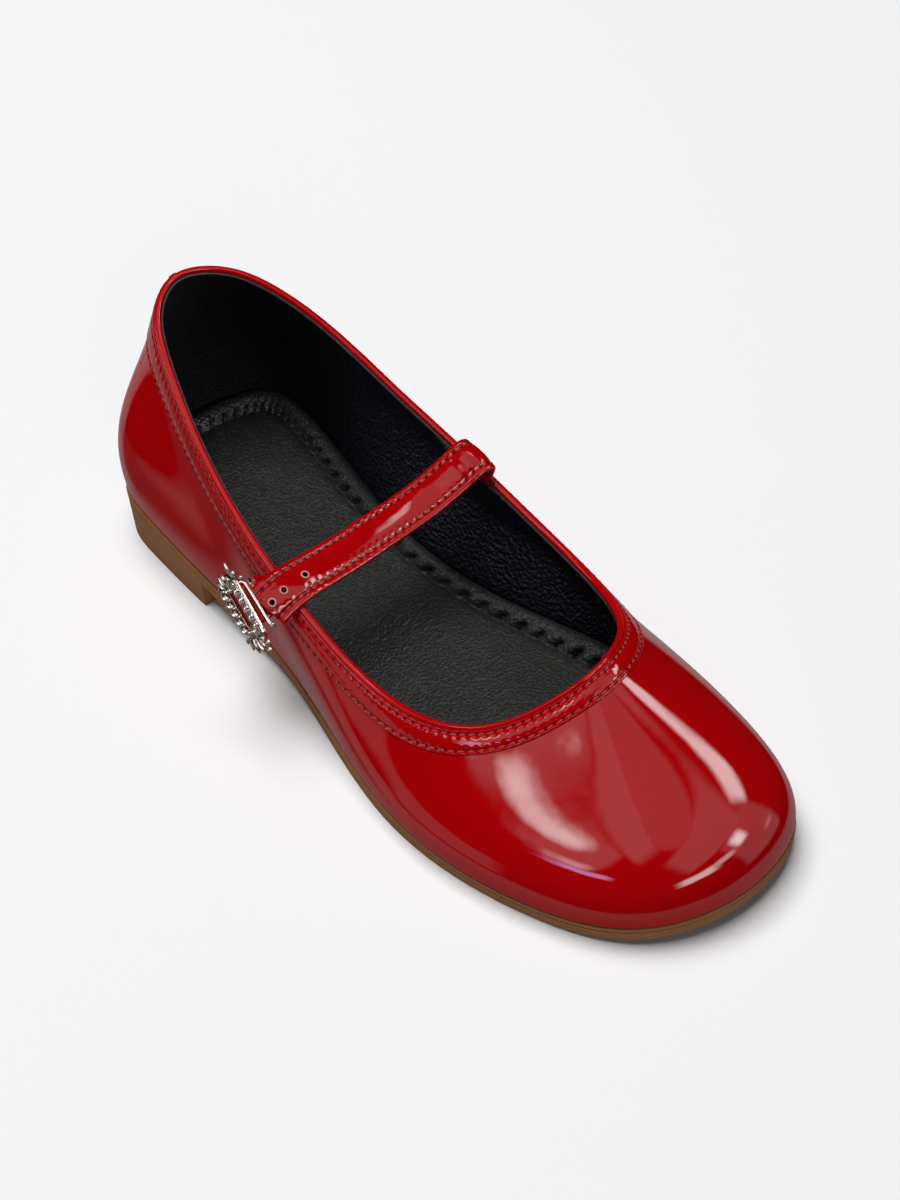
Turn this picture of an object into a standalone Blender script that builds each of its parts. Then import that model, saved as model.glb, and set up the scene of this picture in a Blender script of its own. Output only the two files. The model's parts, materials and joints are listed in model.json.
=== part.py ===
"""Ballet flat with an instep strap: the right shoe of a child's pair, built as lasted footwear.

Lengths are millimetres in the last's own frame, and mm() takes them to metres. X points to the medial
side, y runs from the heel (0) to the toe (-LENGTH), and z is the height above the floor.
"""

import math

import bmesh
import bpy
import numpy as np
from mathutils import Matrix, Vector

# Driving dimensions
LENGTH = 212.0
HEEL_LENGTH = 48.0
BREAST_HEIGHT = 9.0
FLAT_FROM, FLAT_TO = 122.0, 168.0  # the stretch of forepart that lies on the floor, from the heel
TOE_SPRING = 4.2
WELT = 1.5  # the sole's edge beyond the foot of the wall
WALL = 2.2
GAP = 0.3  # between pieces that touch

BINDING_HEIGHT, BINDING_WIDTH = 2.1, 2.5
BAND_WIDTH, BAND_RAISE, BAND_STEP = 10.0, 0.4, 0.6  # the collar band, a step in the wall

STRAP_WIDTH, STRAP_THICK = 11.4, 1.8
HOLE_RADIUS, HOLE_SIDES = 0.9, 12
TAB_WIDTH, TAB_THICK = 10.2, 1.2

BUCKLE_LONG, BUCKLE_SHORT, BUCKLE_THICK = 21.0, 13.6, 1.6
WINDOW_LONG, WINDOW_SHORT = 12.6, 8.2
WIRE_RADIUS, WIRE_STANDOFF = 0.55, 2.3

# Where the last's frame lies from the middle of the finished shoe's footprint
CENTRE = (-2.5, -105.8)

# Sections round the shoe, from the heel seam along the lateral side to the toe and back on the medial side.
# edge: the sole's edge. top: the outer edge of the topline. flare and rise: how far the wall's curve heads
# outwards and upwards from the sole. run and drop: how far out and down it comes in to the topline.
UPPER_SECTIONS = [
    # edge_x, edge_y, top_x, top_y, top_z, flare, rise, run, drop
    (0.0, 0.0, -0.5, -8.0, 70.5, 5.0, 25.0, 6.0, 20.5),
    (-25.5, -5.0, -10.5, -13.5, 67.5, 4.0, 26.0, 6.0, 20.5),
    (-31.8, -24.5, -17.0, -25.0, 63.0, 2.5, 24.5, 4.5, 19.0),
    (-32.8, -51.0, -24.0, -44.5, 55.0, 1.5, 20.5, 3.0, 16.5),
    (-33.0, -79.5, -29.5, -68.5, 45.5, 0.5, 16.0, 2.5, 14.0),
    (-36.8, -104.0, -32.0, -94.0, 36.5, 1.0, 12.0, 3.0, 11.5),
    (-41.5, -129.0, -32.0, -118.5, 29.2, 2.0, 9.5, 4.5, 11.0),
    (-41.5, -154.5, -28.0, -138.5, 27.5, 3.0, 9.5, 10.5, 11.0),
    (-35.0, -180.5, -18.0, -151.5, 30.0, 4.0, 11.5, 19.0, 11.5),
    (-22.5, -201.8, -5.5, -158.0, 35.0, 5.0, 14.0, 26.0, 13.0),
    (1.0, -212.0, 3.5, -160.5, 39.0, 4.0, 16.5, 28.0, 13.5),
    (26.0, -205.3, 12.0, -158.5, 38.5, 2.0, 15.5, 24.0, 13.5),
    (35.5, -182.5, 22.5, -151.0, 34.0, 1.0, 13.5, 14.0, 13.5),
    (38.8, -155.0, 30.5, -134.0, 29.5, 1.0, 11.5, 5.0, 12.0),
    (34.0, -128.0, 31.5, -108.0, 34.0, 2.5, 11.5, 5.0, 9.5),
    (26.0, -100.0, 30.0, -82.5, 42.0, 3.0, 13.0, 5.0, 10.0),
    (22.8, -72.0, 28.0, -62.5, 49.0, 3.5, 16.0, 4.0, 13.5),
    (26.3, -45.5, 25.0, -41.0, 58.0, 4.0, 20.0, 3.5, 16.5),
    (29.0, -22.5, 19.0, -23.0, 66.0, 5.0, 23.0, 5.0, 19.0),
    (23.0, -6.0, 11.0, -12.0, 69.5, 5.5, 24.5, 6.0, 20.5),
]
COLUMNS_PER_SECTION = 4

# Height of the sole's top rim, where the wall stands, along the shoe
SEAT = [
    # y, height
    (0.0, 15.4),
    (-30.0, 13.7),
    (-57.0, 11.4),
    (-80.0, 8.0),
    (-100.0, 5.3),
    (-122.0, 4.2),
    (-150.0, 4.0),
    (-175.0, 4.1),
    (-195.0, 5.6),
    (-212.0, 8.3),
]

# The insole's surface from its edge inwards
INSOLE_RELIEF = [
    # inset, height above the sole
    (0.0, 2.4),
    (1.4, 4.2),
    (4.6, 4.9),
    (7.6, 4.2),
    (9.6, 2.5),
    (11.6, 3.1),
]
INSOLE_CLEARANCE = 0.5
SHARP_INSET = 5.0  # lines drawn in from the sole's edge by more than this have rounder corners

# The strap's middle line from its root inside the medial wall. slope: how its width falls to the toe.
# turn: how its width turns to the medial side on the way to the toe
STRAP_PATH = [
    # x, y, z, slope, turn in degrees
    (27.7, -89.3, 29.0, 16.0, 13.0),
    (27.8, -89.7, 34.0, 16.0, 9.0),
    (26.8, -90.3, 38.6, 16.0, 5.0),
    (27.8, -91.1, 42.0, 16.0, 4.0),
    (26.6, -91.6, 43.9, 15.0, 3.0),
    (21.5, -91.2, 42.2, 14.0, 1.0),
    (12.0, -90.3, 39.4, 13.0, 0.0),
    (0.0, -89.8, 38.0, 13.0, 0.0),
    (-12.0, -89.5, 37.8, 14.0, 0.0),
    (-22.0, -89.3, 38.4, 17.0, 0.0),
    (-30.5, -89.4, 39.6, 22.0, 0.0),
    (-33.5, -89.7, 40.2, 31.0, 0.0),
    (-36.0, -90.0, 40.5, 41.0, 0.0),
]
HOLES_FROM_END = (2.6, 7.0, 13.6)

# The anchor tab's middle line, from under the strap's end down to the lateral wall
TAB_PATH = [
    # x, y, z, slope, turn in degrees
    (-34.2, -88.6, 38.2, 33.0, 0.0),
    (-36.0, -88.7, 38.8, 41.0, 0.0),
    (-38.0, -88.9, 39.2, 43.0, 0.0),
    (-39.6, -88.8, 38.9, 45.0, 0.0),
    (-40.7, -87.7, 37.6, 45.0, 0.0),
    (-40.5, -86.0, 35.8, 45.0, 0.0),
    (-38.8, -83.6, 33.4, 45.0, 0.0),
    (-36.1, -81.2, 31.0, 45.0, 0.0),
    (-34.0, -79.2, 28.8, 44.0, 0.0),
    (-33.3, -77.6, 27.0, 43.0, 0.0),
]

# The buckle's frame: its middle, the way its long sides run (to the heel), and the way down its short ones
BUCKLE_MIDDLE = (-41.6, -86.0, 35.8)
BUCKLE_ALONG = (0.03, 0.72, 0.69)
BUCKLE_DOWN = (0.17, 0.68, -0.71)


def mm(point):
    """A point, or an array of them, from the last's millimetres to metres."""
    return np.asarray(point, float) * 0.001


# Curves -------------------------------------------------------------------------------------------------


def closed_spline(rows, per_row):
    """Points on the periodic cubic spline through the rows, per_row of them from each row to the next."""
    rows = np.asarray(rows, float)
    ahead = np.roll(rows, -1, 0)
    eye = np.eye(len(rows))
    system = 4 * eye + np.roll(eye, 1, 0) + np.roll(eye, -1, 0)
    bend = np.linalg.solve(system, 6 * (ahead - 2 * rows + np.roll(rows, 1, 0)))
    t = (np.arange(per_row) / per_row)[None, :, None]
    straight = rows[:, None] * (1 - t) + ahead[:, None] * t
    here = bend[:, None] * ((1 - t) ** 3 - (1 - t)) / 6
    there = np.roll(bend, -1, 0)[:, None] * (t**3 - t) / 6
    return (straight + here + there).reshape(-1, rows.shape[1])


def open_spline(knots, values, at):
    """Values of the natural cubic spline through (knots, values) at the places asked for, knots rising."""
    knots, values = np.asarray(knots, float), np.asarray(values, float)
    step = np.diff(knots)
    size = len(knots)
    system, right = np.eye(size), np.zeros((size,) + values.shape[1:])
    slopes = (np.diff(values, axis=0).T / step).T
    for i in range(1, size - 1):
        system[i, i - 1 : i + 2] = step[i - 1], 2 * (step[i - 1] + step[i]), step[i]
        right[i] = 6 * (slopes[i] - slopes[i - 1])
    bend = np.linalg.solve(system, right)
    at = np.asarray(at, float)
    i = np.clip(np.searchsorted(knots, at) - 1, 0, size - 2)
    h = step[i]
    a, b = (knots[i + 1] - at) / h, (at - knots[i]) / h
    if values.ndim > 1:
        a, b, h = a[:, None], b[:, None], h[:, None]
    cubic = (a**3 - a) * bend[i] + (b**3 - b) * bend[i + 1]
    return a * values[i] + b * values[i + 1] + cubic * h**2 / 6


def seat_height(y):
    """The height of the sole's top rim at y."""
    stations = np.array(SEAT)[::-1]
    return open_spline(stations[:, 0], stations[:, 1], y)


def ground_height(y):
    """The underside of the sole before the heel's breast: the shank's rise, the flat spot, the toe spring."""
    from_heel = -y
    if from_heel < FLAT_FROM:
        return BREAST_HEIGHT * ((FLAT_FROM - from_heel) / (FLAT_FROM - HEEL_LENGTH)) ** 1.5
    if from_heel > FLAT_TO:
        return TOE_SPRING * ((from_heel - FLAT_TO) / (LENGTH - FLAT_TO)) ** 2
    return 0.0


def plan_normals(ring):
    """Unit normals in plan of a closed ring of points, pointing out of it."""
    along = np.roll(ring[:, :2], -1, 0) - np.roll(ring[:, :2], 1, 0)
    normal = np.stack([along[:, 1], -along[:, 0]], 1)
    normal /= np.linalg.norm(normal, axis=1, keepdims=True)
    return -normal if (normal * (ring[:, :2] - ring[:, :2].mean(0))).sum() < 0 else normal


def sections():
    """The sections filled in to every column, as a dict of named arrays."""
    table = closed_spline(UPPER_SECTIONS, COLUMNS_PER_SECTION)
    edge, top = table[:, :2], table[:, 2:5]
    return {"edge": edge, "top": top, "shape": table[:, 5:]}


def inset_outline(distance):
    """The sole's edge drawn in by a distance, in plan. Further in, its corners grow rounder."""
    edge = sections()["edge"]
    inset = edge - plan_normals(edge) * distance
    for _ in range(int(max(0.0, distance - SHARP_INSET) / 1.2)):
        inset = (np.roll(inset, 1, 0) + 2 * inset + np.roll(inset, -1, 0)) / 4
    return inset


# The wall of the upper -----------------------------------------------------------------------------------


def wall_curves(steps=48):
    """Fine points up every column's wall curve, from the sole to the topline: an array steps by columns by 3."""
    drawn = sections()
    foot = inset_outline(WELT)
    foot = np.column_stack([foot, seat_height(foot[:, 1]) + GAP])
    top, shape = drawn["top"], drawn["shape"]
    flare, rise, run, drop = shape.T
    lower = foot + np.column_stack([plan_normals(foot) * flare[:, None], rise])
    upper = top + np.column_stack([plan_normals(top) * run[:, None], -drop])
    t = np.linspace(0, 1, steps)[:, None, None]
    return (1 - t) ** 3 * foot + 3 * t * (1 - t) ** 2 * lower + 3 * t**2 * (1 - t) * upper + t**3 * top


def surface_normals(grid):
    """Unit normals of a grid of rows (rising) by columns (closed), pointing out of the shoe."""
    up = np.gradient(grid, axis=0)
    along = np.roll(grid, -1, 1) - np.roll(grid, 1, 1)
    normal = np.cross(up, along)
    normal /= np.linalg.norm(normal, axis=2, keepdims=True)
    outward = normal[0, :, :2] * plan_normals(grid[0])
    return normal if outward.sum() > 0 else -normal


def wall_grid(from_topline, raises, below):
    """The wall's outer surface at fixed distances under the topline, then evenly down to the sole.

    from_topline: distances down the surface; raises: how far each of those rows stands out; below: the
    number of rows under them. Rows come in order from the topline to the sole."""
    fine = wall_curves()[::-1]
    normals = surface_normals(fine[::-1])[::-1]
    steps = np.linalg.norm(np.diff(fine, axis=0), axis=2)
    walked = np.concatenate([np.zeros((1, fine.shape[1])), steps.cumsum(0)])
    rows = []
    for column in range(fine.shape[1]):
        length = walked[-1, column]
        share = np.linspace(0, 1, below + 1)[1:]
        wanted = np.concatenate([from_topline, from_topline[-1] + (length - from_topline[-1]) * share])
        lift = np.concatenate([raises, np.zeros(below)])
        place = [np.interp(wanted, walked[:, column], fine[:, column, k]) for k in range(3)]
        facing = [np.interp(wanted, walked[:, column], normals[:, column, k]) for k in range(3)]
        rows.append(np.stack(place, 1) + np.stack(facing, 1) * lift[:, None])
    return np.stack(rows, 1)


# Meshes and objects --------------------------------------------------------------------------------------


def make_collection(name):
    collection = bpy.data.collections.new(name)
    bpy.context.scene.collection.children.link(collection)
    return collection


def make_material(name, colour, roughness, metallic=0.0):
    material = bpy.data.materials.new(name)
    material.use_nodes = True
    shader = material.node_tree.nodes["Principled BSDF"]
    shader.inputs["Base Color"].default_value = (*colour, 1.0)
    shader.inputs["Roughness"].default_value = roughness
    shader.inputs["Metallic"].default_value = metallic
    return material


def add_object(name, data, collection, material=None):
    """A new object in the collection, riding on the shoe's empty."""
    item = bpy.data.objects.new(name, data)
    collection.objects.link(item)
    item.parent = bpy.data.objects["ballet_flat"]
    if material:
        data.materials.append(material)
    return item


def mesh_from(bm, name):
    """A mesh of the bmesh, its faces turned outwards and shaded smooth up to 40 degrees."""
    bmesh.ops.recalc_face_normals(bm, faces=bm.faces)
    mesh = bpy.data.meshes.new(name)
    bm.to_mesh(mesh)
    bm.free()
    mesh.shade_smooth()
    mesh.set_sharp_from_angle(angle=math.radians(40))
    return mesh


def add_ring(bm, points):
    return [bm.verts.new(p) for p in mm(points)]


def bridge(bm, rings, closed=True):
    """Quads between each ring of vertices and the next."""
    for low, high in zip(rings, rings[1:]):
        count = len(low)
        for i in range(count if closed else count - 1):
            j = (i + 1) % count
            bm.faces.new((low[i], low[j], high[j], high[i]))


def fill_across(bm, ring):
    """Fills a ring that starts at the heel with strips from its lateral half to its medial half."""
    count = len(ring)
    half = count // 2
    bm.faces.new((ring[0], ring[1], ring[-1]))
    for i in range(1, half - 1):
        bm.faces.new((ring[i], ring[i + 1], ring[count - i - 1], ring[count - i]))
    bm.faces.new((ring[half - 1], ring[half], ring[half + 1]))


def add_modifier(item, kind, **settings):
    modifier = item.modifiers.new(kind.title(), kind)
    for key, value in settings.items():
        setattr(modifier, key, value)
    return modifier


def cut(item, cutter):
    """Cuts a helper out of a piece and hides the helper."""
    cutter.hide_render = True
    cutter.display_type = "WIRE"
    add_modifier(item, "BOOLEAN", operation="DIFFERENCE", object=cutter)


# Sub-parts -----------------------------------------------------------------------------------------------


def outsole(parts, helpers):
    """The moulded unit sole: a full-depth blank, less everything under its underside's profile."""
    outline = inset_outline(0.0)
    top = np.column_stack([outline, seat_height(outline[:, 1])])
    bottom = np.column_stack([outline, np.full(len(outline), -5.0)])
    bm = bmesh.new()
    rings = [add_ring(bm, bottom), add_ring(bm, top)]
    bridge(bm, rings)
    fill_across(bm, rings[0])
    fill_across(bm, rings[1])
    brown = make_material("moulded_rubber_brown", (0.17, 0.075, 0.035), 0.55)
    sole = add_object("outsole", mesh_from(bm, "outsole"), parts, brown)

    beyond, depth, half_width = 20.0, -20.0, 60.0
    shank = np.linspace(HEEL_LENGTH, FLAT_FROM, 13)
    toe = np.linspace(FLAT_TO, LENGTH + beyond / 2, 11)
    profile = [(beyond, depth), (beyond, 0.0), (-HEEL_LENGTH, 0.0)]
    profile += [(-d, ground_height(-d)) for d in (*shank, *toe)]
    profile += [(-LENGTH - beyond / 2, depth)]
    bm = bmesh.new()
    sides = [add_ring(bm, [(x, y, z) for y, z in profile]) for x in (-half_width, half_width)]
    bridge(bm, sides)
    for side in sides:
        bm.faces.new(side)
    cut(sole, add_object("ground_cutter", mesh_from(bm, "ground_cutter"), helpers))


def insole(parts):
    """The padded footbed: a raised rim, a stitched channel inside it, and a smooth middle panel."""
    edge = WELT + WALL + INSOLE_CLEARANCE
    bm = bmesh.new()
    rings = []
    for inset, height in [(INSOLE_RELIEF[0][0], GAP), *INSOLE_RELIEF]:
        outline = inset_outline(edge + inset)
        rings.append(add_ring(bm, np.column_stack([outline, seat_height(outline[:, 1]) + height])))
    bridge(bm, rings)
    fill_across(bm, rings[0])
    fill_across(bm, rings[-1])
    black = make_material("insole_black", (0.018, 0.018, 0.017), 0.5)
    add_object("insole", mesh_from(bm, "insole"), parts, black)


def upper(parts):
    """The lasted shell: the wall's outer surface with the collar band raised, thickened inwards."""
    start = BINDING_HEIGHT + GAP
    distances = [start, BAND_WIDTH / 2, BAND_WIDTH - BAND_STEP, BAND_WIDTH]
    raises = [BAND_RAISE, BAND_RAISE, BAND_RAISE, 0.0]
    grid = wall_grid(distances, raises, below=9)
    bm = bmesh.new()
    bridge(bm, [add_ring(bm, row) for row in grid])
    red = make_material("patent_red", (0.40, 0.008, 0.010), 0.08)
    shell = add_object("upper", mesh_from(bm, "upper"), parts, red)
    add_modifier(shell, "SOLIDIFY", thickness=WALL * 0.001, offset=-1, use_even_offset=True)


def topline_binding(parts):
    """The rolled edge: a rounded section carried round the topline, over the wall's own top edge."""
    start = BINDING_HEIGHT + GAP
    edge, below = wall_grid([start, BAND_WIDTH / 2], [BAND_RAISE, BAND_RAISE], below=1)[:2]
    along = edge - below
    along /= np.linalg.norm(along, axis=1, keepdims=True)
    outward = np.cross(np.roll(edge, -1, 0) - np.roll(edge, 1, 0), along)
    outward /= np.linalg.norm(outward, axis=1, keepdims=True)
    outward *= np.sign((outward[:, :2] * plan_normals(edge)).sum())
    middle = edge - outward * WALL / 2 + along * (GAP + BINDING_HEIGHT / 2)
    bm = bmesh.new()
    sides = 10
    rings = []
    for turn in np.arange(sides) / sides * math.tau:
        out = math.copysign(abs(math.cos(turn)) ** 0.75, math.cos(turn)) * BINDING_WIDTH / 2
        rise = math.copysign(abs(math.sin(turn)) ** 0.75, math.sin(turn)) * BINDING_HEIGHT / 2
        rings.append(add_ring(bm, middle + outward * out + along * rise))
    bridge(bm, [*rings, rings[0]])
    red = make_material("binding_red", (0.50, 0.010, 0.012), 0.10)
    add_object("topline_binding", mesh_from(bm, "topline_binding"), parts, red)


def band_surface(path, width, samples, across=4):
    """A ribbon's middle surface, as rows of points across it, with its middle line, normals and cross lines."""
    path = np.array(path)
    walked = np.concatenate([[0], np.linalg.norm(np.diff(path[:, :3], axis=0), axis=1).cumsum()])
    line = open_spline(walked, path, np.linspace(0, walked[-1], samples))
    middle, slope, turn = line[:, :3], np.radians(line[:, 3]), np.radians(line[:, 4])
    along = np.gradient(middle, axis=0)
    along /= np.linalg.norm(along, axis=1, keepdims=True)
    cross = np.column_stack([np.sin(turn), -np.cos(slope) * np.cos(turn), -np.sin(slope)])
    cross -= along * (cross * along).sum(1, keepdims=True)
    cross /= np.linalg.norm(cross, axis=1, keepdims=True)
    places = np.linspace(-width / 2, width / 2, across + 1)
    rows = [middle + cross * place for place in places]
    return np.stack(rows, 1), middle, np.cross(along, cross), cross


def ribbon(name, path, width, thick, samples, parts, material):
    """A flat strap: its middle surface, thickened both ways, with its rim rounded."""
    rows = band_surface(path, width, samples)[0]
    bm = bmesh.new()
    bridge(bm, [add_ring(bm, row) for row in rows], closed=False)
    strap = add_object(name, mesh_from(bm, name), parts, material)
    add_modifier(strap, "SOLIDIFY", thickness=thick * 0.001, offset=0, use_even_offset=True)
    rim = 0.3 * thick * 0.001
    add_modifier(strap, "BEVEL", width=rim, segments=1, limit_method="ANGLE", angle_limit=math.radians(60))
    return strap


def instep_strap(parts, helpers):
    """The strap across the instep, with its adjustment holes."""
    red = make_material("strap_red", (0.42, 0.008, 0.010), 0.08)
    strap = ribbon("instep_strap", STRAP_PATH, STRAP_WIDTH, STRAP_THICK, 40, parts, red)
    middle, normals = band_surface(STRAP_PATH, STRAP_WIDTH, 400)[1:3]
    to_end = np.linalg.norm(np.diff(middle, axis=0), axis=1)[::-1].cumsum()[::-1]
    for number, distance in enumerate(HOLES_FROM_END, 1):
        i = int(np.abs(to_end - distance).argmin())
        bm = bmesh.new()
        bmesh.ops.create_cone(
            bm,
            cap_ends=True,
            segments=HOLE_SIDES,
            radius1=HOLE_RADIUS * 0.001,
            radius2=HOLE_RADIUS * 0.001,
            depth=3 * STRAP_THICK * 0.001,
        )
        name = f"hole_cutter_{number}"
        cutter = add_object(name, mesh_from(bm, name), helpers)
        cutter.location = mm(middle[i])
        cutter.rotation_euler = Vector(normals[i]).to_track_quat("Z", "Y").to_euler()
        cut(strap, cutter)


def buckle_anchor(parts):
    """The plain tab that holds the buckle, from the lateral wall to under the strap's end."""
    red = make_material("anchor_red", (0.24, 0.005, 0.007), 0.15)
    ribbon("buckle_anchor", TAB_PATH, TAB_WIDTH, TAB_THICK, 16, parts, red)


def buckle_axes():
    """The buckle's rotation: x along its long sides, y down its short ones, z out of the shoe."""
    along = Vector(BUCKLE_ALONG).normalized()
    down = Vector(BUCKLE_DOWN)
    down = (down - along * down.dot(along)).normalized()
    return Matrix((along, down, along.cross(down))).transposed()


def rounded_outline(curve, long_side, short_side, radius, lobes):
    """One closed spline of a rounded rectangle; its short ends swell into a few rounded lobes."""
    corner_steps, end_swell, lobe_depth = 4, 1.0, 0.45
    points = []
    for quarter, (sx, sy) in enumerate([(1, 1), (-1, 1), (-1, -1), (1, -1)]):
        for step in range(corner_steps + 1):
            turn = (quarter + step / corner_steps) * math.pi / 2
            x = sx * (long_side / 2 - radius) + radius * math.cos(turn)
            y = sy * (short_side / 2 - radius) + radius * math.sin(turn)
            points.append((x, y))
        if lobes and quarter in (1, 3):
            side = -1 if quarter == 1 else 1
            for step in range(1, lobes * 4):
                along = step / (lobes * 4)
                swell = end_swell * math.sin(along * math.pi)
                lobe = lobe_depth * abs(math.sin(along * lobes * math.pi))
                y = (0.5 - along) * (short_side - 2 * radius) * -side
                points.append((side * (long_side / 2 + swell + lobe), y))
    spline = curve.splines.new("POLY")
    spline.points.add(len(points) - 1)
    for point, (x, y) in zip(spline.points, points):
        point.co = (x * 0.001, y * 0.001, 0.0, 1.0)
    spline.use_cyclic_u = True


def buckle_frame(parts):
    """The frame: a flat ring with lobed short ends, facing away from the shoe."""
    curve = bpy.data.curves.new("buckle_frame", "CURVE")
    curve.dimensions = "2D"
    curve.fill_mode = "BOTH"
    curve.extrude = BUCKLE_THICK / 2 * 0.001
    rounded_outline(curve, BUCKLE_LONG, BUCKLE_SHORT, 2.6, lobes=4)
    rounded_outline(curve, WINDOW_LONG, WINDOW_SHORT, 1.2, lobes=0)
    silver = make_material("buckle_silver", (0.78, 0.76, 0.73), 0.22, metallic=1.0)
    frame = add_object("buckle_frame", curve, parts, silver)
    frame.matrix_local = Matrix.Translation(mm(BUCKLE_MIDDLE)) @ buckle_axes().to_4x4()


def buckle_wire(parts):
    """The wire bar behind the frame's upper side, with a leg to each end plate."""
    half = WINDOW_LONG / 2 + 0.6
    up = -BUCKLE_SHORT / 2 + 1.2
    back = -BUCKLE_THICK / 2 - GAP
    route = [
        (-half, up, back),
        (-half, up, back - WIRE_STANDOFF * 0.7),
        (-half + 0.8, up, back - WIRE_STANDOFF),
        (half - 0.8, up, back - WIRE_STANDOFF),
        (half, up, back - WIRE_STANDOFF * 0.7),
        (half, up, back),
    ]
    curve = bpy.data.curves.new("buckle_wire", "CURVE")
    curve.dimensions = "3D"
    curve.bevel_depth = WIRE_RADIUS * 0.001
    curve.bevel_resolution = 2
    curve.use_fill_caps = True
    spline = curve.splines.new("POLY")
    spline.points.add(len(route) - 1)
    for point, place in zip(spline.points, route):
        point.co = (*mm(place), 1.0)
    silver = make_material("wire_silver", (0.80, 0.79, 0.77), 0.18, metallic=1.0)
    wire = add_object("buckle_wire", curve, parts, silver)
    wire.matrix_local = Matrix.Translation(mm(BUCKLE_MIDDLE)) @ buckle_axes().to_4x4()


def main():
    for item in list(bpy.data.objects):
        bpy.data.objects.remove(item)
    parts = make_collection("ballet_flat")
    helpers = make_collection("cutters")
    origin = bpy.data.objects.new("ballet_flat", None)
    parts.objects.link(origin)
    origin.location = (*mm((-CENTRE[0], -CENTRE[1])), 0.0)
    outsole(parts, helpers)
    insole(parts)
    upper(parts)
    topline_binding(parts)
    instep_strap(parts, helpers)
    buckle_anchor(parts)
    buckle_frame(parts)
    buckle_wire(parts)


main()
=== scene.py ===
"""A child's red patent strap flat, the right shoe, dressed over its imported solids.

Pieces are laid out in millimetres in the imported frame: x to the medial side, y to the heel, z up.
"""

import json
from math import cos, pi, radians, sin

import bmesh
import bpy
import numpy as np
from mathutils import Matrix, Quaternion, Vector
from mathutils.bvhtree import BVHTree

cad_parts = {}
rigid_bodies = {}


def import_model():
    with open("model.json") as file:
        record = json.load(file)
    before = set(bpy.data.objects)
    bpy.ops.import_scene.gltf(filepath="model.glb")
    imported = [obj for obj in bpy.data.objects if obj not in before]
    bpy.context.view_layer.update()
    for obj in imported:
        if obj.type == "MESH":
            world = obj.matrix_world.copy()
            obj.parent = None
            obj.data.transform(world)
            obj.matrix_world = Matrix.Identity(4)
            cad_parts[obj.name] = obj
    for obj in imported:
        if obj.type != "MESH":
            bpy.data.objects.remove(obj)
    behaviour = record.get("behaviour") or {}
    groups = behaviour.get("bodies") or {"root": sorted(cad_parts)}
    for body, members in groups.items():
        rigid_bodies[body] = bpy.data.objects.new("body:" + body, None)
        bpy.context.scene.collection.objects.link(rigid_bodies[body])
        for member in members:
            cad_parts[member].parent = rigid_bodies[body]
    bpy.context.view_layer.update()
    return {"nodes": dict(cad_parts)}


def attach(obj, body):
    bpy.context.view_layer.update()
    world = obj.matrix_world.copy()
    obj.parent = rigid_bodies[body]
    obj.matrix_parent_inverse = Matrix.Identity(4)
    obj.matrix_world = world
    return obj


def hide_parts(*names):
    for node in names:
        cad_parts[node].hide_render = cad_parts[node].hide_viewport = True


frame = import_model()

MM = 0.001

# --- Camera and studio ---

CAMERA_PLACE = Vector((-188.6, -252.7, 361.7)) * MM
CAMERA_AIM = Vector((2.3, -8.0, 30.0)) * MM
CAMERA_ROLL = radians(-4.3)
CAMERA_LENS = 56.0

# The room, in metres
FLOOR_SIZE = 6.0
BACKDROP_RADIUS, BACKDROP_HEIGHT = 1.5, 6.0
LAMPS = [
    # name, place, size, power
    ("overhead_bank", (-0.1, 0.5, 2.35), 1.6, 69),
    ("side_bank", (-0.5, -1.1, 0.5), 0.9, 2.4),
]
BUCKLE_LAMP = ("buckle_lamp", (-0.55, -0.1, 0.35), 0.5, 2.4)

# Soft panels hung round the shoe. turn: 0 is in front of the toe and 90 on the medial side. rise: above the
# floor. wide, high: half the panel's spread. edge: the share of it that fades out. Angles are in degrees.
PANELS = [
    # turn, rise, wide, high, edge, strength, and a colour where it isn't white
    (45, 90, 22, 22, 0.2, 0.62),
    (20, 58, 29, 15, 0.3, 0.82),
    (42, 20, 21, 30, 0.25, 0.65),
    (34, 36, 8, 10, 0.8, 12),
    (53, 12, 9, 6, 0.9, 2),
    (-7, 29.5, 18, 7, 0.6, 8),
    (14, 31, 14, 5, 0.7, 5),
    (75, 44, 12, 8, 0.6, 9),
    (130, 71, 10, 4.5, 0.8, 5.5),
    (-98, 72, 20, 8, 0.4, 0.95),
    (-94, 57, 8, 10, 0.5, 0.9),
    (-103, 59, 5, 4.5, 0.9, 9),
    (-92, 50, 6, 4, 0.9, 5),
    (-84, 46, 10, 2.6, 0.6, 8, "#C6BAFF"),
    (-108, -4, 16, 16, 0.3, 0.42),
    (-130, -24, 8, 10, 0.5, 0.35),
    (-135, 42, 15, 9, 0.8, 5),
    (-168, -16, 12, 9, 0.4, 0.42),
]
# A painted shadow on the paper behind the heel, as the gloss sees it, and the share of light left there
PAPER_SHADE, SHADE_LEFT = (-150.0, -31.0, 13.0, 16.0, 0.6), 0.18
# The paper as the gloss sees it, from straight below to where it meets the dark room. It darkens
# towards straight below: a painted shadow of the shoe on the paper.
PAPER_LEVELS = [
    # height, level
    (-0.985, "#4A4A4A"),
    (-0.866, "#6A6A6A"),
    (-0.707, "#868686"),
    (-0.5, "#A4A4A4"),
    (-0.42, "#A4A4A6"),
    (-0.33, "#070708"),
]


def linear(colour):
    """An sRGB hex colour as linear RGBA."""
    channels = [int(colour[i : i + 2], 16) / 255 for i in (1, 3, 5)]
    return (*[c / 12.92 if c <= 0.04045 else ((c + 0.055) / 1.055) ** 2.4 for c in channels], 1.0)


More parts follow.
